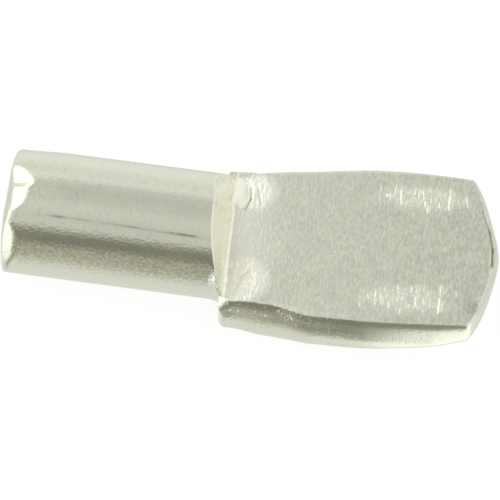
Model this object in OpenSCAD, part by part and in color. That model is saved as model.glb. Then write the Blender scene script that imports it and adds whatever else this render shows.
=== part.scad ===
// Shelf support pin, spoon pattern: a round shank that presses into a hole in a cabinet
// side, and a flattened blade that the shelf lies on. One piece of plated steel wire.
//
// Frame: millimetres, +Z up. The origin is on the shank's axis at the foot of the step.
// The shank runs towards -X, the blade towards +X, and the blade's flat face looks up.

/* [Shank] */
// Diameter of the round shank
shank_d = 5; // [4:0.1:7]
// Length of the shank, from its free end to the foot of the step
shank_len = 8.75; // [6:0.05:14]
// Radius of the rounded rim at the shank's free end
end_round = 0.35; // [0.1:0.05:1]
// Length of the root, the last stretch of shank behind the step, which the press swelled
root_len = 0.45; // [0.3:0.05:0.6]
// How far the root has swelled past the shank's wall at the foot of the step
root_swell = 0.03; // [0.01:0.01:0.05]

/* [Blade] */
// Length of the flat, from the foot of the step to the crown of the tip
blade_len = 10.45; // [8:0.05:16]
// Greatest width of the flat
flat_w = 6.8; // [6.3:0.05:9]
// Plan radius of the flat's two long edges
side_arc_r = 29; // [24:1:80]
// Width of the flat between its square corners at the neck
neck_w = 5.8; // [5.2:0.05:6.2]
// Length of the straight stretch beside the square corners at the neck
neck_len = 1.6; // [0.6:0.1:2.4]
// Distance from the foot of the step to the flat's greatest width
widest_at = 6.7; // [4:0.1:7.5]
// How far the crown of the tip stands past the tip's corners
tip_crown = 0.9; // [0.3:0.05:1.6]
// Height of the flat above the shank's axis
flat_rise = 0.15; // [0:0.05:0.6]
// Angle, seen from above, by which the press set the blade round from the shank's line
blade_yaw = 3.5; // [-5:0.5:5]

/* [Step] */
// Angle of the step's face from upright
step_slant = 13.5; // [5:0.5:25]
// Radius in the corner at the foot of the step
root_fillet = 0.15; // [0.05:0.05:0.4]

/* [Edges] */
// Radius of the barrelled side walls, seen in section
side_round = 1.7; // [1.2:0.05:2]
// How far the side walls swell out past the edge of the flat
side_swell = 0.55; // [0.3:0.05:0.7]
// How far the side walls swell out beside the square corners at the neck
neck_swell = 0.35; // [0.1:0.05:0.5]
// How far the shoulders swell back past the foot of the step
shoulder_swell = 0.15; // [0.05:0.05:0.4]
// Radius of the tip's end wall, seen in section
tip_round = 1.1; // [0.6:0.05:1.4]
// How far the tip's end wall swells out past the edge of the flat
tip_swell = 0.2; // [0.05:0.05:0.3]

/* [Underside] */
// How far the underside's lowest place stands below the shank's underside
bowl_drop = 0.1; // [0.05:0.01:0.4]
// Distance from the foot of the step to the underside's lowest place
bowl_low_at = 0.8; // [0.5:0.1:2.5]
// Height by which the underside has risen at the crown of the tip
bowl_rise = 1.35; // [0.8:0.05:2]
// Radius of the underside from side to side
bowl_cross_r = 7; // [5.5:0.5:12]

/* [Hidden] */
$fn = 96;
shank_r = shank_d / 2;
// Further than any point of the pin lies from the foot of the step
reach = shank_len + blade_len;
// The tip's corners, and the plan radius of the arc that joins them
tip_x = blade_len - tip_crown;
tip_half_w = flat_w / 2 - side_arc_r
    + sqrt(side_arc_r * side_arc_r - (tip_x - widest_at) * (tip_x - widest_at));
tip_arc_r = (tip_half_w * tip_half_w + tip_crown * tip_crown) / (2 * tip_crown);
// Depth of the underside's lowest place, and the radius of its rise from there to the tip
bowl_depth = shank_r + bowl_drop;
bowl_run = blade_len - bowl_low_at;
bowl_long_r = (bowl_run * bowl_run + bowl_rise * bowl_rise) / (2 * bowl_rise);

// Section of a swollen wall: it passes through [edge, flat_rise] and swells out below that
module wall_section(edge, swell, round_r) {
    flank = round_r - swell;
    translate([edge - flank, flat_rise - sqrt(round_r * round_r - flank * flank)])
        circle(round_r);
    translate([0, -reach])
        square([edge - flank, 2 * reach]);
}

// Upright disc whose rim is a swollen wall of the given plan radius
module wall_disc(plan_r, swell, round_r) {
    rotate_extrude()
        wall_section(plan_r, swell, round_r);
}

// Round shank with its rounded rim, whose root is a slight cone that runs on under the step
module shank() {
    wall_len = shank_len - root_len;
    inner_r = shank_r + 2 * root_swell;
    rotate([0, 90, 0])
        translate([0, 0, -shank_len])
            rotate_extrude() {
                square([shank_r - end_round, end_round]);
                translate([shank_r - end_round, end_round])
                    circle(end_round);
                translate([0, end_round])
                    square([shank_r, wall_len - end_round]);
                translate([0, wall_len])
                    polygon([[0, 0], [shank_r, 0], [inner_r, 2 * root_len], [0, 2 * root_len]]);
            }
}

// Both long side walls: bowed in plan, but straight beside the square corners at the neck
module side_limits() {
    offset_y = side_arc_r - flat_w / 2;
    intersection() {
        translate([widest_at, offset_y, 0])
            wall_disc(side_arc_r, side_swell, side_round);
        translate([widest_at, -offset_y, 0])
            wall_disc(side_arc_r, side_swell, side_round);
    }
    rotate([90, 0, 90])
        linear_extrude(2 * neck_len, center = true) {
            wall_section(neck_w / 2, neck_swell, side_round);
            mirror([1, 0])
                wall_section(neck_w / 2, neck_swell, side_round);
        }
}

// Crowned end wall of the tip, left open towards the shank
module tip_limit() {
    translate([blade_len - tip_arc_r, 0, 0])
        wall_disc(tip_arc_r, tip_swell, tip_round);
    translate([-reach, -reach, -reach])
        cube([reach + widest_at, 2 * reach, 2 * reach]);
}

// Shoulders at the neck, which face back along the shank: swollen above, upright below
module shoulder_limit() {
    flank = side_round - shoulder_swell;
    swollen_z = flat_rise - sqrt(side_round * side_round - flank * flank);
    rotate([90, 0, 0])
        linear_extrude(2 * reach, center = true) {
            translate([reach, 0])
                mirror([1, 0])
                    wall_section(reach, shoulder_swell, side_round);
            translate([-shoulder_swell, swollen_z - reach])
                square(reach);
        }
}

// Underside: a shallow bowl that rises to the tip
module bowl_limit() {
    translate([bowl_low_at, 0, bowl_long_r - bowl_depth])
        rotate([90, 0, 0])
            rotate_extrude() {
                translate([bowl_long_r - bowl_cross_r, 0])
                    circle(bowl_cross_r);
                translate([0, -bowl_cross_r])
                    square([bowl_long_r - bowl_cross_r, 2 * bowl_cross_r]);
            }
}

// What the press leaves of the wire ahead of the shank, before its flat is struck
module blade_blank() {
    intersection() {
        side_limits();
        tip_limit();
        shoulder_limit();
        bowl_limit();
    }
}

// Outline of the press tool above the flat: level below, slanted behind, round between
module press_outline() {
    corner = 90 + step_slant;
    tangent = root_fillet / tan(corner / 2);
    centre = [tangent, root_fillet];
    heel = [-tangent * sin(step_slant), tangent * cos(step_slant)];
    top = [-reach * tan(step_slant), reach];
    polygon([[tangent, 0], [reach, 0], [reach, reach], top, heel, centre]);
    translate(centre)
        circle(root_fillet);
}

module press_tool() {
    translate([0, 0, flat_rise])
        rotate([90, 0, 0])
            linear_extrude(2 * reach, center = true)
                press_outline();
}

module shelf_pin() {
    color([0.82, 0.82, 0.75])
        difference() {
            union() {
                shank();
                rotate([0, 0, blade_yaw])
                    blade_blank();
            }
            rotate([0, 0, blade_yaw])
                press_tool();
        }
}

shelf_pin();
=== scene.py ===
"""Dresses a shelf support pin: one piece of steel wire, struck flat at one end and nickel plated.

The pin is described as a form, a function that gives each point its distance from the pin's
skin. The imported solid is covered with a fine, even net, and the net's points are settled on
the form, which adds what the solid leaves out: worn edges, press marks, ribs and the chip.

Sizes inside the form are in millimetres, in the part's own frame. Blender's are in metres.
"""

import itertools
import logging
import math
from dataclasses import dataclass, field
from enum import Enum
from typing import Callable, Sequence

import bmesh
import bpy
import numpy as np
from mathutils import Matrix, Vector


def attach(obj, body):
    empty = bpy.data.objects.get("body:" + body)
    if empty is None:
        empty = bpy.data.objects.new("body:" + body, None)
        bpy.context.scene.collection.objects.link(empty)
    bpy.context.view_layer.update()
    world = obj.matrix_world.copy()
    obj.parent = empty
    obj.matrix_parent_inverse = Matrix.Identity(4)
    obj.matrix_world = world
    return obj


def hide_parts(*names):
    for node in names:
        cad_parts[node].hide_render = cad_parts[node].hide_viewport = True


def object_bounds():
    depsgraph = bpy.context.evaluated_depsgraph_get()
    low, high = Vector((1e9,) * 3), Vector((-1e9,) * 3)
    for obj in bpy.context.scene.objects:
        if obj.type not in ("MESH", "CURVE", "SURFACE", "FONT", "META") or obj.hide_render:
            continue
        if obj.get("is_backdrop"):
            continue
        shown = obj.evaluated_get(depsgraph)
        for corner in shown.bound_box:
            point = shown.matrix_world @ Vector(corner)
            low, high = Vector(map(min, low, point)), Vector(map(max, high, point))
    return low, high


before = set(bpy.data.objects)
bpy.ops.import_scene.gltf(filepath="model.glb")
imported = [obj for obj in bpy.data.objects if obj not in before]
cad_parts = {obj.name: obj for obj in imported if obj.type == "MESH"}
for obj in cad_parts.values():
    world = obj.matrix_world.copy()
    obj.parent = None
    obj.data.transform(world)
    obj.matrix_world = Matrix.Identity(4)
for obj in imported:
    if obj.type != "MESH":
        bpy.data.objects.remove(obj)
LOG = logging.getLogger("shelf_pin")
MM = 0.001
Values = np.ndarray
Place = tuple[float, float]
Swells = tuple[float, float, float]
Colour = tuple[float, float, float, float]


# ---------------------------------------------------------------- shapes


def round_intersection(a: Values, b: Values, radius: float | Values) -> Values:
    """Distance to what two forms share, with the edge between them rounded.

    Args:
        a: Distances to the first form.
        b: Distances to the second form.
        radius: Radius of the rounded edge.

    Returns:
        Distances to the shared form.
    """
    corner = np.hypot(np.maximum(radius + a, 0), np.maximum(radius + b, 0))
    return np.minimum(-radius, np.maximum(a, b)) + corner


def round_union(a: Values, b: Values, radius: float | Values) -> Values:
    """Distance to two forms joined, with a fillet of the given radius between them."""
    return -round_intersection(-a, -b, radius)


def ramp(values: Values, start: float, end: float) -> Values:
    """Rises smoothly from 0 at start to 1 at end."""
    t = np.clip((values - start) / (end - start), 0, 1)
    return t * t * (3 - 2 * t)


def bell(values: Values, half_width: float) -> Values:
    """Is 1 at 0 and falls away smoothly over about the half width."""
    return np.exp(-((values / half_width) ** 2))


def lattice_noise(points: Values, size: Sequence[float], seed: int) -> Values:
    """Smooth random values from -1 to 1.

    Args:
        points: Points, one row each.
        size: How far the values reach along each axis before they change.
        seed: Picks one pattern.

    Returns:
        One value for each point.
    """
    grid = points / np.array(size)
    cell = np.floor(grid).astype(np.int64)
    part = grid - cell
    part = part * part * (3 - 2 * part)
    primes = np.array([73856093, 19349663, 83492791])
    total = np.zeros(len(points))
    for corner in itertools.product((0, 1), repeat=points.shape[1]):
        key = (cell + corner) @ primes[: points.shape[1]] + seed * 2654435761
        key = ((key ^ (key >> 13)) * 1274126177) & 0xFFFFFFFF
        key = ((key ^ (key >> 16)) * 2246822519) & 0xFFFFFFFF
        weight = np.prod(np.where(corner, part, 1 - part), axis=1)
        total += weight * ((key & 0xFFFF) / 0x7FFF - 1)
    return total


@dataclass(frozen=True)
class Stroke:
    """A straight ridge on a surface, or a groove where its height is negative."""

    start: Place
    end: Place
    width: float
    height: float
    # The last field darkens the plating along the stroke: painted shade in its groove or crack, with some
    # grime.
    grime_and_shade: float = 0.0

    def cover(self, x: Values, y: Values) -> Values:
        """How fully the stroke covers places on the surface, from 0 to 1."""
        run = np.array(self.end) - np.array(self.start)
        length = float(np.hypot(*run))
        ux, uy = run / length
        dx, dy = x - self.start[0], y - self.start[1]
        along = dx * ux + dy * uy
        beyond = np.maximum(np.abs(along - length / 2) - length / 2, 0)
        return bell(dy * ux - dx * uy, self.width / 2) * bell(beyond, self.width)


@dataclass(frozen=True)
class Patch:
    """An oval patch of the flat, which is tilted or roughened."""

    centre: Place
    half_size: Place
    turn: float = 0.0
    slope: Place = (0.0, 0.0)
    grain: Place = (0.1, 0.3)
    roughness: float = 0.0
    edge: float = 0.35
    # Wear roughens the patch and paints it paler, partly a painted highlight.
    wear_and_sheen: float = 1.0
    # The last field darkens the plating over the patch: painted shadow in the chip near the tip.
    grime_and_shade: float = 0.0
    seed: int = 1

    def turned(self, x: Values, y: Values) -> tuple[Values, Values]:
        """Places seen from the patch's centre, along its own axes."""
        c, s = math.cos(math.radians(self.turn)), math.sin(math.radians(self.turn))
        dx, dy = x - self.centre[0], y - self.centre[1]
        return c * dx + s * dy, c * dy - s * dx

    def cover(self, x: Values, y: Values) -> Values:
        """How fully the patch covers places on the flat, from 0 to 1."""
        u, v = self.turned(x, y)
        reach = np.hypot(u / self.half_size[0], v / self.half_size[1])
        return 1 - ramp(reach, 1 - self.edge, 1 + self.edge * 0.3)

    def relief(self, x: Values, y: Values) -> Values:
        """Height that the patch adds at places on the flat."""
        u, v = self.turned(x, y)
        height = (x - self.centre[0]) * self.slope[0] + (y - self.centre[1]) * self.slope[1]
        if self.roughness:
            grit = lattice_noise(np.stack([u, v], 1), self.grain, self.seed)
            fine = lattice_noise(np.stack([u, v], 1) * 2.3, self.grain, self.seed + 50)
            height = height + self.roughness * (grit + 0.4 * fine)
        return self.cover(x, y) * height


@dataclass(frozen=True)
class Shank:
    """The round wire, from its cropped end to the step."""

    radius: float = 2.5
    length: float = 8.75
    end_round: float = 0.16
    end_tuck: float = 0.10
    ring: float = 0.31
    ring_tilt: float = 48.0
    ring_at: float = 70.0
    ring_reach: float = 36.0
    ring_blend: float = 0.06
    end_taper: float = 0.075
    taper_len: float = 2.2
    root_len: float = 0.45
    root_swell: float = 0.03
    near_flare: float = 0.09
    spur: float = 0.10
    spur_at: float = 17.0
    spur_reach: float = 13.0
    rim_tilt: float = 18.0
    rim_blend: float = 0.05
    rim: float = 0.32
    rim_bites: tuple[tuple[float, float, float], ...] = (
        (-40, 28, -0.27), (28, 20, 0.28), (82, 18, 0.47), (96, 10, 0.24), (152, 28, -0.27),
    )
    scratch: tuple[Place, ...] = ((-7.7, 61.0), (-4.95, 60.7), (-0.65, 58.6))
    scratch_depth: float = 0.016
    scratch_width: float = 0.05

    def turn(self, y: Values, z: Values) -> Values:
        """Angle of points round the wire, in degrees, from -90 under it, over its front and top."""
        found = np.degrees(np.arctan2(z, -y))
        return np.where(found < -90, found + 360, found)

    def on_scratch(self, x: Values, y: Values, z: Values) -> Values:
        """How fully the long scratch covers points on the wall, from 0 to 1."""
        knots = np.array(self.scratch)
        aside = np.radians(self.turn(y, z) - np.interp(x, knots[:, 0], knots[:, 1])) * self.radius
        ends = ramp(x, knots[0, 0], knots[0, 0] + 0.5) * (1 - ramp(x, knots[-1, 0] - 0.5, knots[-1, 0]))
        gaps = 0.6 + 0.4 * lattice_noise(np.stack([x, 0 * x], 1), (0.5, 1.0), 21)
        return bell(aside, self.scratch_width) * ends * gaps

    def past_rim(self, x: Values, turn: Values) -> Values:
        """How far points lie past the inner edge of the cropped rim, towards the free end."""
        bites = 0.0
        for at, half_width, depth in self.rim_bites:
            bites = bites + depth * bell(((turn - at) / half_width) ** 2, 1.0)
        return self.rim + bites - x - self.length

    def rim_edge_darkening(self, x: Values, y: Values, z: Values) -> Values:
        """How much the rim's inner edge is darkened, mostly at the front, from 0 to 1."""
        turn = self.turn(y, z)
        return bell(self.past_rim(x, turn) - 0.02, 0.07) * bell(turn - 10, 16)

    def distance(self, points: Values) -> Values:
        """Distance from the shank's skin."""
        x, y, z = points.T
        turn = self.turn(y, z)
        upper = (0.883 * y + 0.469 * z) / self.radius
        wall = np.hypot(y, z) - self.radius
        wall += self.end_taper * np.clip(upper, 0, 1) * ramp(-x, self.length - self.taper_len, self.length)
        root = np.clip((x + self.root_len) / self.root_len, 0, 2)
        at_root = np.clip(root, 0, 1)
        wall -= self.root_swell * root + self.near_flare * np.clip(-upper, 0, 1) ** 2 * at_root**2
        wall -= self.spur * bell(turn - self.spur_at, self.spur_reach) * at_root
        wall += self.scratch_depth * self.on_scratch(x, y, z)
        tilt = math.radians(self.rim_tilt)
        rim = wall * math.cos(tilt) + self.past_rim(x, turn) * math.sin(tilt)
        wall = round_intersection(wall, rim, self.rim_blend)
        ring = self.ring * bell(turn - self.ring_at, self.ring_reach) - x - self.length
        steep = math.radians(self.ring_tilt)
        wall = round_intersection(wall, wall * math.cos(steep) + ring * math.sin(steep), self.ring_blend)
        back = bell(turn - 165, 38)
        sharp = back + bell(turn + 28, 22)
        end = self.end_tuck * back - x - self.length
        wall = round_intersection(wall, end, self.end_round - self.end_tuck * sharp)
        return round_intersection(wall, x - self.root_len, 0.01)


@dataclass(frozen=True)
class Blade:
    """The end of the wire that the press spread, before its flat was struck."""

    length: float = 10.45
    flat_w: float = 6.8
    flat_rise: float = 0.15
    side_arc_r: float = 29.0
    widest_at: float = 6.7
    neck_w: float = 5.8
    neck_len: float = 1.6
    tip_crown: float = 0.9
    side_round: float = 1.7
    side_swell: float = 0.55
    far_swell: float = 0.42
    far_out: float = 0.05
    far_hollow: float = 0.08
    neck_swell: float = 0.35
    shoulder_swell: float = 0.15
    tip_round: float = 1.1
    tip_swell: float = 0.2
    bowl_depth: float = 2.6
    bowl_low_at: float = 0.8
    bowl_rise: float = 1.35
    bowl_cross_r: float = 7.0
    near_cross_r: float = 10.0
    belly_round: float = 0.3
    near_corner: float = 0.12
    far_corner: float = 0.08
    near_lip: float = 0.13
    far_lip: float = 0.14
    low_corner: float = 0.12
    bevel_normal: tuple[float, float, float] = (-0.40, -0.50, 0.77)
    bevel_at: Place = (0.28, -2.74)
    # Painted shade along the near wall under its lip: its strength, place along the blade, reach and band
    # width.
    lip_shade_strength: float = 0.64
    lip_shade_at: float = 4.5
    lip_shade_reach: float = 2.4
    lip_shade_width: float = 0.26

    def wall(self, reach: Values, z: Values, edge: Values, swell: Values, radius: Values) -> Values:
        """Distance from a swollen wall.

        Args:
            reach: How far each point lies from the wall's own middle, in plan.
            z: Height of each point.
            edge: Reach of the wall's top edge, at the height of the flat.
            swell: How far the wall swells out past that edge.
            radius: Radius of the swelling, seen in section.

        Returns:
            Distances from the wall.
        """
        flank = radius - swell
        middle = self.flat_rise - np.sqrt(radius**2 - flank**2)
        past = reach - edge + flank
        return np.minimum(np.hypot(past, z - middle) - radius, past)

    def lip_shade(self, x: Values, y: Values, z: Values) -> Values:
        """How much painted shade darkens the near wall under its lip, from 0 to 1."""
        band = bell(z + 0.58 - 0.065 * x, self.lip_shade_width)
        return self.lip_shade_strength * bell(x - self.lip_shade_at, self.lip_shade_reach) * band * ramp(-y, 2.3, 2.8)

    def near_edge(self, x: Values) -> Values:
        """Reach of the near side's top edge, which the press spread unevenly."""
        spread = 0.09 * ramp(x, 0.3, 2.2) + 0.365 * ramp(x, 1.7, 3.6) + 0.07 * ramp(x, 2.8, 5.8)
        return 2.74 + spread - 0.17 * ramp(x, 5.6, 10.8)

    def near_round(self, x: Values) -> Values:
        """Radius of the near side's swelling, which shrinks towards the tip."""
        return 1.57 + 0.25 * bell(x - 1.8, 1.0) + 0.05 * bell(x - 5.6, 1.2) - 0.75 * ramp(x, 8.2, 10.1)

    def sides(self, x: Values, y: Values, z: Values) -> Values:
        """Distance from both long side walls, the far one square at the neck and bowed beyond it."""
        radius = self.near_round(x)
        near = self.wall(-y, z, self.near_edge(x), self.side_swell / self.side_round * radius, radius)
        reach = np.hypot(x - self.widest_at, y + self.side_arc_r - self.flat_w / 2)
        reach += self.far_hollow * bell(x - 3.4, 1.5) - self.far_out
        bowed = self.wall(reach, z, self.side_arc_r, self.far_swell, self.side_round)
        square = y + 0.4 * ramp(x, 0.5, self.neck_len)
        neck = self.wall(square, z, self.neck_w / 2, self.neck_swell, self.side_round)
        neck = np.where(x < 0, neck, np.maximum(neck, x - self.neck_len))
        return np.where(y > 0, round_union(bowed, neck, 0.2), near)

    def tip(self, x: Values, y: Values, z: Values) -> Values:
        """Distance from the tip's end wall, a little gable-shaped in plan."""
        at = self.length - self.tip_crown
        drop = self.side_arc_r - math.sqrt(self.side_arc_r**2 - (at - self.widest_at) ** 2)
        half_w = self.flat_w / 2 - drop
        arc_r = (half_w**2 + self.tip_crown**2) / (2 * self.tip_crown)
        reach = np.hypot(x - self.length + arc_r, y)
        gable = 0.06 * bell(y - 0.2, 0.8) - 0.07 * bell(y - 1.8, 1.0) - 0.03 * bell(y + 1.6, 0.8)
        return self.wall(reach - gable, z, arc_r, self.tip_swell, self.tip_round)

    def shoulders(self, x: Values, y: Values, z: Values) -> Values:
        """Distance from the shoulders, swollen above and upright below, the near one with a bevel."""
        flank = self.side_round - self.shoulder_swell
        middle = self.flat_rise - math.sqrt(self.side_round**2 - flank**2)
        near = ramp(-y, 2.2, 2.6)
        swell = self.shoulder_swell - 0.11 * near
        lip = self.near_lip * near + self.far_lip * ramp(y, 2.2, 2.6)
        upright = self.wall(-x, np.maximum(z, middle), lip, swell, self.side_round)
        along, across, up = self.bevel_normal
        bevel = along * (x - self.bevel_at[0]) + across * (y - self.bevel_at[1]) + up * (z - self.flat_rise)
        return round_intersection(upright, bevel, 0.03)

    def bowl(self, x: Values, y: Values, z: Values) -> Values:
        """Distance from the underside, a shallow bowl that rises to the tip."""
        run = self.length - self.bowl_low_at
        long_r = (run**2 + self.bowl_rise**2) / (2 * self.bowl_rise)
        reach = np.hypot(x - self.bowl_low_at, z - long_r + self.bowl_depth)
        cross_r = self.bowl_cross_r + (self.near_cross_r - self.bowl_cross_r) * ramp(-y, 0.0, 3.0)
        out = np.maximum(reach - long_r + cross_r, 0)
        return np.hypot(out, y) - cross_r

    def distance(self, x: Values, y: Values, z: Values) -> Values:
        """Distance from the blank's skin."""
        corner = self.near_corner + (self.far_corner - self.near_corner) * ramp(y, 0, 1)
        walls = round_intersection(self.sides(x, y, z), self.tip(x, y, z), corner)
        shoulder = self.near_corner + self.low_corner * ramp(-z, -0.1, 1.1)
        walls = round_intersection(walls, self.shoulders(x, y, z), shoulder)
        return round_intersection(walls, self.bowl(x, y, z), self.belly_round)


def ribs(height: float, *rows: tuple[float, float, float, float, float, float]) -> tuple[Stroke, ...]:
    """Ribs of the flat.

    Args:
        height: Height of a plain rib.
        rows: Each rib's start and end, its width, and its height in plain ribs.

    Returns:
        The ribs.
    """
    return tuple(Stroke((a, b), (c, d), width, height * share) for a, b, c, d, width, share in rows)


@dataclass(frozen=True)
class PressMarks:
    """What the press left on the flat: bruises at the neck's corners, and two rows of ribs."""

    patches: tuple[Patch, ...] = (
        Patch((0.30, 2.02), (0.40, 0.74), 0, (-0.24, -0.06), edge=0.2),
        Patch((1.00, 2.10), (0.85, 0.90), 10, (0.10, 0.02), (0.13, 0.22), 0.006, edge=0.5, seed=3),
        Patch((0.72, -1.92), (1.05, 1.12), -24, (0.125, 0.01), (0.13, 0.20), 0.019, edge=0.5, seed=5),
        Patch((7.60, 2.35), (2.15, 0.66), 0, (0.0, 0.0), (0.11, 0.26), 0.012, edge=0.6, wear_and_sheen=0.45, seed=7),
        Patch((7.20, -2.20), (2.20, 0.76), 0, (0.0, 0.0), (0.11, 0.26), 0.012, edge=0.6, wear_and_sheen=0.4, seed=9),
        # The chip near the tip, darkened with a painted shadow.
        Patch((9.74, -2.34), (0.34, 0.46), 35, (0.02, 0.0), (0.12, 0.12), 0.012, 0.8, 0.0, 0.44, seed=11),
        # This wide patch round the neck roughens the flat a little and paints it paler: a painted reflection
        # of the bright step.
        Patch((0.2, 0.0), (1.9, 3.2), 0, (0.0, 0.0), edge=1.0, wear_and_sheen=0.6, seed=13),
    )
    # Some strokes darken the plating along them: painted shade in the neck's cracks and grooves, and a
    # painted dark line along the tip's far edge.
    strokes: tuple[Stroke, ...] = (
        Stroke((0.68, 2.25), (0.72, 1.76), 0.06, -0.030, 0.5),
        Stroke((0.72, 1.76), (0.55, 1.29), 0.07, -0.035, 0.7),
        Stroke((0.99, 2.20), (1.13, 1.52), 0.06, -0.030, 0.5),
        Stroke((0.86, 2.14), (0.84, 1.45), 0.16, 0.013),
        Stroke((1.36, 2.92), (1.44, 2.56), 0.08, -0.015, 0.3),
        Stroke((0.55, -2.21), (0.70, -1.70), 0.09, -0.024, 0.12),
        Stroke((0.70, -1.70), (0.92, -1.51), 0.09, -0.026, 0.2),
        Stroke((0.67, -1.75), (0.85, -1.11), 0.09, 0.022),
        Stroke((0.81, -2.09), (1.06, -1.27), 0.09, 0.020),
        Stroke((0.35, -2.30), (0.41, -1.20), 0.10, 0.020),
        Stroke((5.03, -1.15), (6.38, -0.81), 0.04, 0.008),
        Stroke((3.85, -0.68), (4.27, -0.51), 0.04, 0.007),
        Stroke((8.78, 1.93), (9.17, 1.97), 0.06, -0.015, 0.4),
        Stroke((9.58, -2.13), (10.05, -1.87), 0.07, 0.016),
        Stroke((1.98, -2.76), (3.11, -3.06), 0.09, 0.016),
        Stroke((3.11, -3.06), (4.87, -3.16), 0.09, 0.018),
        Stroke((9.93, 1.97), (10.26, 1.05), 0.07, -0.014, 0.8),
        Stroke((10.26, 1.05), (10.42, 0.25), 0.08, -0.018, 1.0),
        Stroke((10.42, 0.25), (10.43, -0.40), 0.11, -0.020, 1.0),
    )
    far_ribs: tuple[Stroke, ...] = ribs(
        0.013,
        (5.92, 2.71, 5.88, 2.46, 0.14, 0.7),
        (6.24, 2.47, 6.28, 2.17, 0.09, 1.0),
        (6.50, 2.79, 6.44, 2.44, 0.14, 1.2),
        (6.51, 2.31, 6.54, 2.06, 0.08, 0.7),
        (6.74, 2.42, 6.74, 2.05, 0.11, 0.9),
        (7.01, 2.53, 6.97, 2.30, 0.10, 0.7),
        (7.15, 2.23, 7.13, 2.00, 0.09, 0.6),
        (7.39, 2.73, 7.41, 2.36, 0.09, 1.0),
        (7.62, 2.36, 7.70, 2.09, 0.10, 0.9),
        (7.82, 2.06, 7.78, 1.76, 0.09, 1.0),
        (8.11, 2.83, 8.10, 2.31, 0.10, 0.8),
        (8.65, 2.77, 8.62, 1.92, 0.10, 1.6),
        (8.89, 2.83, 8.82, 2.55, 0.08, 0.5),
        (9.31, 2.46, 9.39, 2.08, 0.10, 1.1),
        (7.21, 1.69, 7.20, 1.50, 0.07, 0.6),
        (7.68, 2.73, 7.69, 2.46, 0.07, 0.5),
        (7.92, 2.38, 7.91, 2.16, 0.07, 0.5),
    )
    near_ribs: tuple[Stroke, ...] = ribs(
        0.013,
        (5.40, -2.27, 5.38, -2.54, 0.10, 0.9),
        (5.77, -2.02, 5.73, -2.26, 0.10, 0.6),
        (6.01, -2.00, 5.97, -2.29, 0.10, 0.8),
        (6.25, -2.15, 6.20, -2.47, 0.11, 1.0),
        (6.33, -1.84, 6.29, -2.04, 0.07, 0.7),
        (6.41, -1.92, 6.53, -2.52, 0.09, 0.8),
        (6.68, -2.12, 6.66, -2.38, 0.09, 0.7),
        (6.88, -2.10, 6.83, -2.32, 0.08, 0.6),
        (7.10, -1.75, 6.99, -2.38, 0.10, 1.3),
        (7.38, -1.72, 7.34, -1.97, 0.08, 0.7),
        (7.66, -1.55, 7.58, -1.84, 0.10, 1.2),
        (7.58, -1.91, 7.56, -2.46, 0.10, 1.2),
        (7.87, -1.70, 7.87, -1.95, 0.09, 0.8),
        (7.86, -2.19, 7.96, -2.53, 0.07, 0.9),
        (8.53, -1.58, 8.49, -2.60, 0.13, 1.8),
        (8.73, -1.63, 8.70, -1.81, 0.08, 0.7),
        (9.12, -1.68, 9.19, -1.90, 0.12, 0.5),
        (8.40, -2.36, 8.45, -2.58, 0.08, 0.5),
        (8.09, -2.35, 8.16, -2.56, 0.08, 0.5),
    )

    root_rise: float = -0.06
    root_run: float = 1.3

    def all_strokes(self) -> tuple[Stroke, ...]:
        """Every straight mark on the flat."""
        return (*self.strokes, *self.far_ribs, *self.near_ribs)

    def relief(self, x: Values, y: Values) -> Values:
        """Height of the flat's marks above the plain flat."""
        total = self.root_rise * np.exp(-np.maximum(x, -0.5) / self.root_run)
        for patch in self.patches:
            total += patch.relief(x, y)
        for stroke in self.all_strokes():
            total += stroke.height * stroke.cover(x, y)
        return total

    def grime_and_shade(self, x: Values, y: Values) -> Values:
        """How far the flat is darkened in its cracks, grooves and chip, from 0 to 1: painted shade, with
        some grime.
        """
        return np.clip(sum(m.grime_and_shade * m.cover(x, y) for m in (*self.strokes, *self.patches) if m.grime_and_shade), 0, 1)

    def wear_and_sheen(self, x: Values, y: Values) -> Values:
        """How rough the press left the flat, from 0 to 1, which also paints it paler there: partly a painted
        highlight.
        """
        return np.clip(sum(p.wear_and_sheen * p.cover(x, y) for p in self.patches), 0, 1)


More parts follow.
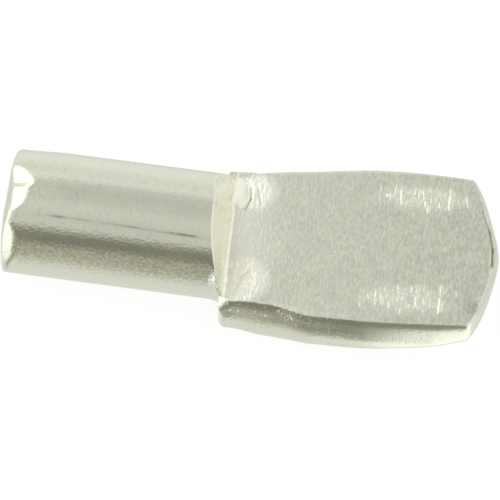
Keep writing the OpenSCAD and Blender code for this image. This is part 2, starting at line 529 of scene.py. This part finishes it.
@dataclass(frozen=True)
class Pin:
    """The whole pin, in the part's frame."""

    shank: Shank = Shank()
    blade: Blade = Blade()
    marks: PressMarks = PressMarks()
    yaw: float = 3.5
    step_slant: float = 13.5
    step_skew: float = 0.022
    far_lean: float = 6.0
    root_fillet: float = 0.13
    edge_round: float = 0.04
    seam: float = 0.04
    flat_band: float = 0.35

    def to_blade(self, points: Values) -> tuple[Values, Values, Values]:
        """Turns points of the part's frame into the blade's own, which the press set askew."""
        c, s = math.cos(math.radians(self.yaw)), math.sin(math.radians(self.yaw))
        x, y, z = points.T
        return c * x + s * y, c * y - s * x, z

    def near_flat(self, x: Values, z: Values) -> Values:
        """Which points lie near the flat."""
        return (np.abs(z - self.blade.flat_rise) < self.flat_band) & (x > -self.flat_band)

    def struck(self, x: Values, y: Values, z: Values) -> Values:
        """Distance from what the press struck away above the flat, below 0 under the flat."""
        relief = np.zeros(len(x))
        near = self.near_flat(x, z)
        relief[near] = self.marks.relief(x[near], y[near])
        slant = np.radians(self.step_slant + self.far_lean * ramp(y, 0.3, 1.9))
        above = z - self.blade.flat_rise
        ahead = (x - self.step_skew * y) * np.cos(slant) + above * np.sin(slant)
        return round_union(above - relief, ahead, self.root_fillet)

    def distance(self, points: Values) -> Values:
        """Distance of points from the pin's skin, below 0 inside."""
        x, y, z = self.to_blade(points)
        body = round_union(self.shank.distance(points), self.blade.distance(x, y, z), self.seam)
        return round_intersection(body, self.struck(x, y, z), self.edge_round)

    def normals(self, points: Values, span: float = 0.004) -> Values:
        """Slope of the distance at points, which is the skin's normal where it is of length 1."""
        found = np.empty_like(points)
        for axis in range(3):
            step = np.zeros(3)
            step[axis] = span
            found[:, axis] = self.distance(points + step) - self.distance(points - step)
        return found / (2 * span)

    def fine_detail(self, points: Values) -> Values:
        """Which points lie where the skin has marks finer than the plain net."""
        x, y, z = self.to_blade(points)
        flat = self.near_flat(x, z) & (self.struck(x, y, z) > -0.1)
        marked = np.zeros(len(points), bool)
        marked[flat] = self.marks.wear_and_sheen(x[flat], y[flat]) + self.marks.grime_and_shade(x[flat], y[flat]) > 0.02
        for stroke in self.marks.strokes:
            marked[flat] |= stroke.cover(x[flat], y[flat]) > 0.05
        return marked | (self.shank.on_scratch(*points.T) > 0.02) | (self.shank.rim_edge_darkening(*points.T) > 0.1)

    def finish(self, points: Values) -> dict[str, Values]:
        """Shares of each finish at points on the skin, each from 0 to 1, by name. One share paints the flat
        paler, a painted highlight; another paints shade into cracks, grooves, the chip, the scratch and the
        near wall under its lip, and darkens the rim's inner edge.
        """
        x, y, z = self.to_blade(points)
        struck = 1 - ramp(-self.struck(x, y, z), 0.01, 0.05)
        step = struck * ramp(z, self.blade.flat_rise + 0.05, self.blade.flat_rise + 0.25)
        flat = struck - step
        # Painted shade darkens the flat's cracks, grooves and chip, and the shank's long scratch.
        grime_and_shade = flat * self.marks.grime_and_shade(x, y) + 0.7 * self.shank.on_scratch(*points.T)
        # The rim's inner edge is darkened, and painted shade darkens the near wall under its lip.
        grime_and_shade += 0.7 * self.shank.rim_edge_darkening(*points.T) + (1 - struck) * self.blade.lip_shade(x, y, z)
        return {"struck": flat, "step": step, "worn_and_lit": flat * self.marks.wear_and_sheen(x, y), "grime_and_shade": grime_and_shade}


class Skin:
    """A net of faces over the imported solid, settled on the pin's form."""

    voxel = 0.108
    sharp_turn = math.radians(14)
    passes = 2
    furthest_step = 0.12

    def __init__(self, form: Pin, solid: bpy.types.Object) -> None:
        """Covers the solid with an even net and settles it on the form."""
        self.form = form
        self.bm = self.even_net(solid)
        for _ in range(self.passes):
            self.settle()
            self.split_edges()
        self.settle()

    def even_net(self, solid: bpy.types.Object) -> bmesh.types.BMesh:
        """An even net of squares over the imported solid, in millimetres."""
        rough = bpy.data.objects.new("rough", solid.data.copy())
        bpy.context.scene.collection.objects.link(rough)
        rough.data.transform(Matrix.Scale(1 / MM, 4))
        net = rough.modifiers.new("net", "REMESH")
        net.mode = "VOXEL"
        net.voxel_size = self.voxel
        seen = rough.evaluated_get(bpy.context.evaluated_depsgraph_get())
        bm = bmesh.new()
        bm.from_mesh(seen.to_mesh())
        seen.to_mesh_clear()
        bpy.data.objects.remove(rough)
        return bm

    def points(self) -> Values:
        """Where the net's points lie."""
        return np.array([v.co for v in self.bm.verts])

    def unit_normals(self, points: Values) -> Values:
        """The form's normals at points, of length 1."""
        found = self.form.normals(points)
        return found / np.linalg.norm(found, axis=1)[:, None]

    def settle(self, rounds: int = 6) -> None:
        """Moves each point along the form's slope until it lies on the skin."""
        points = self.points()
        for _ in range(rounds):
            slope = self.form.normals(points)
            size = np.maximum((slope**2).sum(1), 0.05)
            step = slope * (self.form.distance(points) / size)[:, None]
            length = np.linalg.norm(step, axis=1)[:, None]
            points -= step * np.minimum(1, self.furthest_step / np.maximum(length, 1e-9))
        for vertex, place in zip(self.bm.verts, points):
            vertex.co = place

    def split_edges(self) -> None:
        """Splits the net where the skin turns sharply or has fine marks."""
        points = self.points()
        normals = self.unit_normals(points)
        fine = self.form.fine_detail(points)
        self.bm.verts.index_update()
        pairs = np.array([(e.verts[0].index, e.verts[1].index) for e in self.bm.edges])
        turn = (normals[pairs[:, 0]] * normals[pairs[:, 1]]).sum(1)
        wanted = (turn < math.cos(self.sharp_turn)) | fine[pairs].any(axis=1)
        self.bm.edges.ensure_lookup_table()
        faces = {f for i in np.flatnonzero(wanted) for f in self.bm.edges[i].link_faces}
        edges = list({e for f in faces for e in f.edges})
        bmesh.ops.subdivide_edges(self.bm, edges=edges, cuts=1, use_grid_fill=True)

    def mesh(self, name: str) -> bpy.types.Mesh:
        """The settled net as a mesh in metres, with the form's own normals and finishes."""
        many_sided = [f for f in self.bm.faces if len(f.verts) > 4]
        bmesh.ops.triangulate(self.bm, faces=many_sided)
        points = self.points()
        normals = self.unit_normals(points)
        found = bpy.data.meshes.new(name)
        self.bm.to_mesh(found)
        self.bm.free()
        for finish, share in self.form.finish(points).items():
            layer = found.attributes.new(finish, "FLOAT", "POINT")
            layer.data.foreach_set("value", share.astype(np.float32))
        found.transform(Matrix.Scale(MM, 4))
        found.polygons.foreach_set("use_smooth", [True] * len(found.polygons))
        found.normals_split_custom_set_from_vertices(normals.tolist())
        return found


# ---------------------------------------------------------------- materials


class Channel:
    """A node's output, which can be reckoned with as a number."""

    def __init__(self, tree: "Tree", socket: bpy.types.NodeSocket) -> None:
        """Wraps an output socket of a tree."""
        self.tree, self.socket = tree, socket

    def math(self, operation: str, *others: "Channel | float") -> "Channel":
        """A Math node on this value and others."""
        return self.tree.add("ShaderNodeMath", {"operation": operation}, dict(enumerate((self, *others))))

    def swapped(self, operation: str, other: float) -> "Channel":
        """A Math node with a plain number first."""
        return self.tree.add("ShaderNodeMath", {"operation": operation}, {0: other, 1: self})

    def __add__(self, other: "Channel | float") -> "Channel":
        """Sum."""
        return self.math("ADD", other)

    __radd__ = __add__

    def __sub__(self, other: "Channel | float") -> "Channel":
        """Difference."""
        return self.math("SUBTRACT", other)

    def __rsub__(self, other: float) -> "Channel":
        """Difference from a plain number."""
        return self.swapped("SUBTRACT", other)

    def __mul__(self, other: "Channel | float") -> "Channel":
        """Product."""
        return self.math("MULTIPLY", other)

    __rmul__ = __mul__

    def ramp(self, start: float, end: float) -> "Channel":
        """Rises smoothly from 0 at start to 1 at end."""
        settings = {"interpolation_type": "SMOOTHSTEP"}
        values = {"Value": self, "From Min": start, "From Max": end}
        return self.tree.add("ShaderNodeMapRange", settings, values)


class Tree:
    """A node tree under construction."""

    def __init__(self, tree: bpy.types.NodeTree) -> None:
        """Starts an empty tree."""
        self.tree = tree
        self.tree.nodes.clear()

    def add(
        self, kind: str, settings: dict | None = None, values: dict | None = None, out: int | str = 0
    ) -> Channel:
        """Adds a node.

        Args:
            kind: The node's type.
            settings: Its own settings, set first.
            values: Values or channels for its inputs, by name or number.
            out: The output that is wanted, by name or number.

        Returns:
            That output.
        """
        node = self.tree.nodes.new(kind)
        for name, value in (settings or {}).items():
            setattr(node, name, value)
        for name, value in (values or {}).items():
            if isinstance(value, Channel):
                self.tree.links.new(value.socket, node.inputs[name])
            else:
                node.inputs[name].default_value = value
        return Channel(self, node.outputs[out] if node.outputs else None)

    def parts(self, vector: Channel) -> tuple[Channel, Channel, Channel]:
        """The three numbers of a vector."""
        first = self.add("ShaderNodeSeparateXYZ", values={"Vector": vector})
        outputs = first.socket.node.outputs
        return tuple(Channel(self, outputs[i]) for i in range(3))

    def rays(self, *kinds: str) -> list[Channel]:
        """Whether a ray is of each kind, as 0 or 1."""
        outputs = self.add("ShaderNodeLightPath").socket.node.outputs
        return [Channel(self, outputs[kind]) for kind in kinds]

    def mix(self, share: Channel | float, low: Channel | tuple, high: Channel | tuple) -> Channel:
        """Blends two colours."""
        values = {"Factor": share, 6: low, 7: high}
        return self.add("ShaderNodeMix", {"data_type": "RGBA"}, values, 2)


@dataclass(frozen=True)
class Patterns:
    """What varies over the plating: places in millimetres, shares of the finishes, and noises."""

    along: Channel
    across: Channel
    high: Channel
    struck: Channel
    step: Channel
    worn_and_lit: Channel
    grime_and_shade: Channel
    grain: Channel
    streaks: Channel
    pits: Channel
    orange: Channel
    speckle: Channel
    mottle: Channel
    clouds: Channel
    blotches: Channel

    def drawn(self) -> Channel:
        """How far the surface is the drawn wire's, from 0 to 1."""
        return 1 - self.struck

    def beaten(self) -> Channel:
        """Whether a place lies on the blade, which the press squeezed, from 0 to 1."""
        return self.along.ramp(-0.3, 0.8)

    def front_band_shade(self) -> Channel:
        """How far a place lies on the shank's lower front, where speckled painted shade darkens the plating,
        from 0 to 1.
        """
        lower_front = (1 - self.across.ramp(-1.6, -0.4)) * self.high.ramp(0.0, 0.8)
        lower_front = lower_front * (1 - self.high.ramp(1.2, 1.9))
        return self.drawn() * self.along.ramp(-8.6, -8.0) * (1 - self.beaten()) * lower_front


@dataclass(frozen=True)
class NickelPlate:
    """Dull nickel over pressed steel, with a warm, faintly green tint."""

    colour: Colour = (0.815, 0.84, 0.695, 1.0)
    warm: Colour = (0.85, 0.835, 0.66, 1.0)
    cool: Colour = (0.79, 0.83, 0.71, 1.0)
    # Paler colour of the step face: a painted highlight on the struck nickel.
    step_highlight: Colour = (0.97, 0.955, 0.87, 1.0)
    # Paler colour of rubbed places, which also paints a highlight on the flat.
    rubbed_sheen: Colour = (0.94, 0.945, 0.82, 1.0)
    # A dark colour for the mottling and blotches, and for the painted shade.
    grime_and_shade: Colour = (0.22, 0.22, 0.15, 1.0)
    drawn_roughness: float = 0.23
    struck_roughness: float = 0.34
    step_roughness: float = 0.26
    relief: float = 0.00001
    grain_per_mm: Swells = (9.0, 4.5, 7.0)
    streaks_per_mm: Swells = (0.35, 9.0, 9.0)
    pits_per_mm: Swells = (5.0, 6.0, 6.0)
    orange_per_mm: Swells = (1.5, 3.0, 3.0)
    speckle_per_mm: Swells = (8.0, 10.0, 10.0)
    mottle_per_mm: Swells = (12.0, 4.5, 9.0)
    clouds_per_mm: Swells = (0.8, 0.8, 0.8)
    blotches_per_mm: Swells = (5.0, 2.5, 4.0)

    def noise(self, place: Channel, per_mm: Swells, detail: float = 2.0) -> Channel:
        """Noise around 0.5 that has so many swells a millimetre along each axis."""
        scaled = place.tree.add("ShaderNodeVectorMath", {"operation": "MULTIPLY"}, {0: place, 1: per_mm})
        values = {"Vector": scaled, "Scale": 1.0, "Detail": detail}
        return place.tree.add("ShaderNodeTexNoise", values=values)

    def share(self, tree: Tree, finish: str) -> Channel:
        """How far the surface has a finish, from 0 to 1."""
        return tree.add("ShaderNodeAttribute", {"attribute_name": finish}, out="Fac")

    def patterns(self, tree: Tree) -> Patterns:
        """Makes all that varies over the plating."""
        where = tree.add("ShaderNodeTexCoord", out="Object")
        place = tree.add("ShaderNodeVectorMath", {"operation": "MULTIPLY"}, {0: where, 1: (1 / MM,) * 3})
        along, across, high = tree.parts(place)
        return Patterns(
            along=along,
            across=across,
            high=high,
            struck=self.share(tree, "struck"),
            step=self.share(tree, "step"),
            worn_and_lit=self.share(tree, "worn_and_lit"),
            grime_and_shade=self.share(tree, "grime_and_shade"),
            grain=self.noise(place, self.grain_per_mm),
            streaks=self.noise(place, self.streaks_per_mm),
            pits=self.noise(place, self.pits_per_mm).ramp(0.58, 0.74),
            orange=self.noise(place, self.orange_per_mm),
            speckle=self.noise(place, self.speckle_per_mm),
            mottle=self.noise(place, self.mottle_per_mm, 3.0),
            clouds=self.noise(place, self.clouds_per_mm),
            blotches=self.noise(place, self.blotches_per_mm),
        )

    def bump(self, tree: Tree, over: Patterns) -> Channel:
        """The fine relief: the die's grain on the flat, and a drawn skin with pits elsewhere."""
        skin = over.streaks * 0.15 + over.orange * 0.15 + over.speckle * 0.9
        skin = skin - over.pits * (over.beaten() * 0.7 + 0.15)
        drawn = over.drawn() * (1 - over.along.ramp(3.5, 6.0) * 0.7) * skin
        height = over.struck * (over.grain * 1.9 + over.worn_and_lit * over.blotches * 1.5) + drawn
        values = {"Distance": self.relief, "Height": height}
        return tree.add("ShaderNodeBump", values=values, out="Normal")

    def tone(self, tree: Tree, over: Patterns) -> Channel:
        """The plating's colour, with its clouds and dull mottling, painted highlights on the step and on
        worn places and the flat, palest near the neck, and painted shade with some grime.
        """
        tint = tree.mix(over.clouds.ramp(0.3, 0.7), self.cool, self.warm)
        plain = tree.mix(0.35, self.colour, tint)
        # The step face is painted paler: a painted highlight.
        step_lit = tree.mix(over.step, plain, self.step_highlight)
        dull = over.struck * (over.along.ramp(4.5, 9.5) * 0.09 + 0.26) + over.step * 0.08 + 0.06
        grainy = tree.mix(over.mottle.ramp(0.26, 0.74) * dull, step_lit, self.grime_and_shade)
        # Painted shade: speckled darkening on the shank's lower front.
        front_band_shaded = tree.mix(over.speckle.ramp(0.3, 0.7) * over.front_band_shade() * 0.34, grainy, self.grime_and_shade)
        blotted = over.blotches.ramp(0.55, 0.8) * (over.step * 0.2 + 0.10)
        speckled = tree.mix(blotted, front_band_shaded, self.grime_and_shade)
        # Painted highlight: the worn patches and the flat are painted paler, the flat most near the neck,
        # with some real rubbing.
        rubbed_lit_share = over.worn_and_lit * 0.8 + over.struck * (0.28 - over.along.ramp(0.0, 10.0) * 0.18)
        # Last, painted shade darkens the cracks, grooves, chip, scratch and the near wall under its lip, and
        # the rim's inner edge is darkened.
        return tree.mix(over.grime_and_shade, tree.mix(rubbed_lit_share, speckled, self.rubbed_sheen), self.grime_and_shade)

    def roughness(self, over: Patterns) -> Channel:
        """The plating's roughness, which is low on the drawn wire and high on the struck flat."""
        return (
            self.drawn_roughness
            + over.struck * (self.struck_roughness - self.drawn_roughness)
            + over.step * (self.step_roughness - self.drawn_roughness)
            + (over.clouds - 0.5) * 0.08
            + (over.streaks - 0.5) * over.drawn() * 0.08
            + over.worn_and_lit * 0.08
            + over.grime_and_shade * 0.15
        )

    def material(self) -> bpy.types.Material:
        """Builds the finish."""
        made = bpy.data.materials.new("nickel_plate")
        made.use_nodes = True
        tree = Tree(made.node_tree)
        over = self.patterns(tree)
        values = {
            "Base Color": self.tone(tree, over),
            "Metallic": 1.0,
            "Roughness": self.roughness(over),
            "Normal": self.bump(tree, over),
        }
        skin = tree.add("ShaderNodeBsdfPrincipled", values=values)
        tree.add("ShaderNodeOutputMaterial", values={"Surface": skin})
        return made


# ---------------------------------------------------------------- studio


@dataclass(frozen=True)
class View:
    """The camera, with a long lens that looks down on the pin."""

    azimuth: float = 8.9
    elevation: float = 62.0
    roll: float = -0.4
    focal_px: float = 3060.0
    distance: float = 0.121
    origin_px: Place = (-21.3, -12.2)
    image_px: int = 500
    sensor_mm: float = 36.0

    def place(self) -> None:
        """Makes the camera and aims it so that the frame's origin falls at its place in the picture."""
        a, e, r = (math.radians(v) for v in (self.azimuth, self.elevation, self.roll))
        back = Vector((math.sin(a) * math.cos(e), -math.cos(a) * math.cos(e), math.sin(e)))
        level = Vector((math.cos(a), math.sin(a), 0))
        upright = back.cross(level)
        right = level * math.cos(r) + upright * math.sin(r)
        up = upright * math.cos(r) - level * math.sin(r)
        across, down = (v * self.distance / self.focal_px for v in self.origin_px)
        data = bpy.data.cameras.new("camera")
        data.sensor_width = self.sensor_mm
        data.lens = self.focal_px / self.image_px * self.sensor_mm
        data.clip_start, data.clip_end = self.distance * 0.1, self.distance * 100
        camera = bpy.data.objects.new("camera", data)
        bpy.context.scene.collection.objects.link(camera)
        turn = Matrix((right, up, back)).transposed().to_4x4()
        camera.matrix_world = Matrix.Translation(back * self.distance - right * across + up * down) @ turn
        bpy.context.scene.camera = camera


WARM = (1.03, 1.0, 0.88)


@dataclass(frozen=True)
class Card:
    """A field of one tone that stands round the pin, which the plating mirrors.

    Lift is the angle over the front horizon, up over the top and on to the back. Side is the
    angle to the right. Both are in degrees, and soft is how wide the field's edges are.
    """

    lift: Place
    side: Place
    tone: float
    soft: Place = (8.0, 8.0)
    tint: tuple[float, float, float] = (1.0, 1.0, 1.0)

    def cover(self, lift: Channel, side: Channel) -> Channel:
        """How fully the field covers a direction, from 0 to 1."""
        found = 1.0
        for angle, (low, high), soft in ((lift, self.lift, self.soft[0]), (side, self.side, self.soft[1])):
            found = angle.ramp(low - soft / 2, low + soft / 2) * found
            found = (1 - angle.ramp(high - soft / 2, high + soft / 2)) * found
        return found

    def colour(self) -> Colour:
        """The field's colour."""
        return (*(self.tone * t for t in self.tint), 1.0)


@dataclass(frozen=True)
class Surroundings:
    """What stands round the pin: a white room, with a grey ceiling and a dark stand in front."""

    room: float = 0.90
    cards: tuple[Card, ...] = (
        Card((142, 168), (-90, 90), 0.79, (10, 10)),
        Card((-160, -32), (-90, 90), 0.80, (24, 10)),
        Card((206, 270), (-90, 90), 0.77, (20, 10)),
        Card((-100, 150), (20, 90), 1.04, (30, 14)),
        Card((-70, 14), (3, 90), 1.28, (16, 5)),
        Card((-100, 150), (-90, -26), 0.94, (30, 12)),
        Card((78, 142), (-56, -17), 1.50, (10, 8)),
        Card((-34, 118), (-75, -28.5), 1.50, (12, 4)),
        Card((44, 134), (-17, 14), 0.60, (9, 8)),
        Card((66, 86), (-17, 14), 0.67, (12, 8)),
        Card((90, 128), (-17, -6.8), 0.49, (10, 3)),
        Card((10, 38), (-22, 40), 0.23, (10, 8), WARM),
        Card((-30, 38), (-28, 5.0), 0.59, (16, 4), WARM),
        Card((-24, 2), (-28, -12), 0.32, (12, 3), WARM),
        Card((-38, 4), (-1.8, 5.4), 0.13, (12, 3), WARM),
        Card((5, 34), (-28, 5.2), 0.19, (15, 4), WARM),
    )

    def light(self) -> None:
        """Lights the scene from all round, and shows plain white to the camera."""
        world = bpy.data.worlds.new("surroundings")
        world.use_nodes = True
        bpy.context.scene.world = world
        tree = Tree(world.node_tree)
        where = tree.add("ShaderNodeTexCoord", out="Generated")
        x, y, z = tree.parts(where)
        lift = z.math("ARCTAN2", -1 * y) * (180 / math.pi)
        lift = lift + lift.math("LESS_THAN", -120.0) * 360.0
        side = x.math("ARCSINE") * (180 / math.pi)
        room = (self.room, self.room, self.room, 1.0)
        for card in self.cards:
            room = tree.mix(card.cover(lift, side), room, card.colour())
        white = (1.0, 1.0, 1.0, 1.0)
        camera, glossy, through = tree.rays("Is Camera Ray", "Is Glossy Ray", "Is Transmission Ray")
        shown = tree.mix(camera, room, white)
        lit = tree.mix(camera + glossy + through, white, shown)
        sky = tree.add("ShaderNodeBackground", values={"Color": lit, "Strength": 1.0})
        tree.add("ShaderNodeOutputWorld", values={"Surface": sky})

    def floor(self, height: float) -> bpy.types.Object:
        """A white floor at the given height, which keeps the pin's soft shadow."""
        bm = bmesh.new()
        bmesh.ops.create_circle(bm, cap_ends=True, radius=0.06, segments=96)
        mesh = bpy.data.meshes.new("floor")
        bm.to_mesh(mesh)
        bm.free()
        made = bpy.data.objects.new("floor", mesh)
        made.location.z = height
        made.visible_glossy = False
        bpy.context.scene.collection.objects.link(made)
        paper = bpy.data.materials.new("white_paper")
        paper.use_nodes = True
        tree = Tree(paper.node_tree)
        camera, glossy, through = tree.rays("Is Camera Ray", "Is Glossy Ray", "Is Transmission Ray")
        matt = tree.add("ShaderNodeBsdfDiffuse", values={"Color": (0.2, 0.2, 0.2, 1)})
        glow = tree.add("ShaderNodeEmission", values={"Strength": (camera + glossy + through) * 0.85})
        both = tree.add("ShaderNodeAddShader", values={0: matt, 1: glow})
        tree.add("ShaderNodeOutputMaterial", values={"Surface": both})
        mesh.materials.append(paper)
        made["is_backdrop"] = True
        return made


def main() -> None:
    """Builds the pin, its floor, its light and its camera."""
    logging.basicConfig(level=logging.INFO, format="%(name)s: %(message)s")
    solid_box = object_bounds()
    view = bpy.context.scene.view_settings
    view.view_transform = "Standard"
    View().place()
    around = Surroundings()
    around.light()
    around.floor(solid_box[0].z - 0.00001)

    skin = Skin(Pin(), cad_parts["shelf_pin"])
    mesh = skin.mesh("pin")
    mesh.materials.clear()
    mesh.materials.append(NickelPlate().material())
    pin = bpy.data.objects.new("pin", mesh)
    bpy.context.scene.collection.objects.link(pin)
    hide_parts("shelf_pin")
    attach(pin, "root")
    LOG.info("pin: %d faces", len(mesh.polygons))


if __name__ == "__main__":
    main()
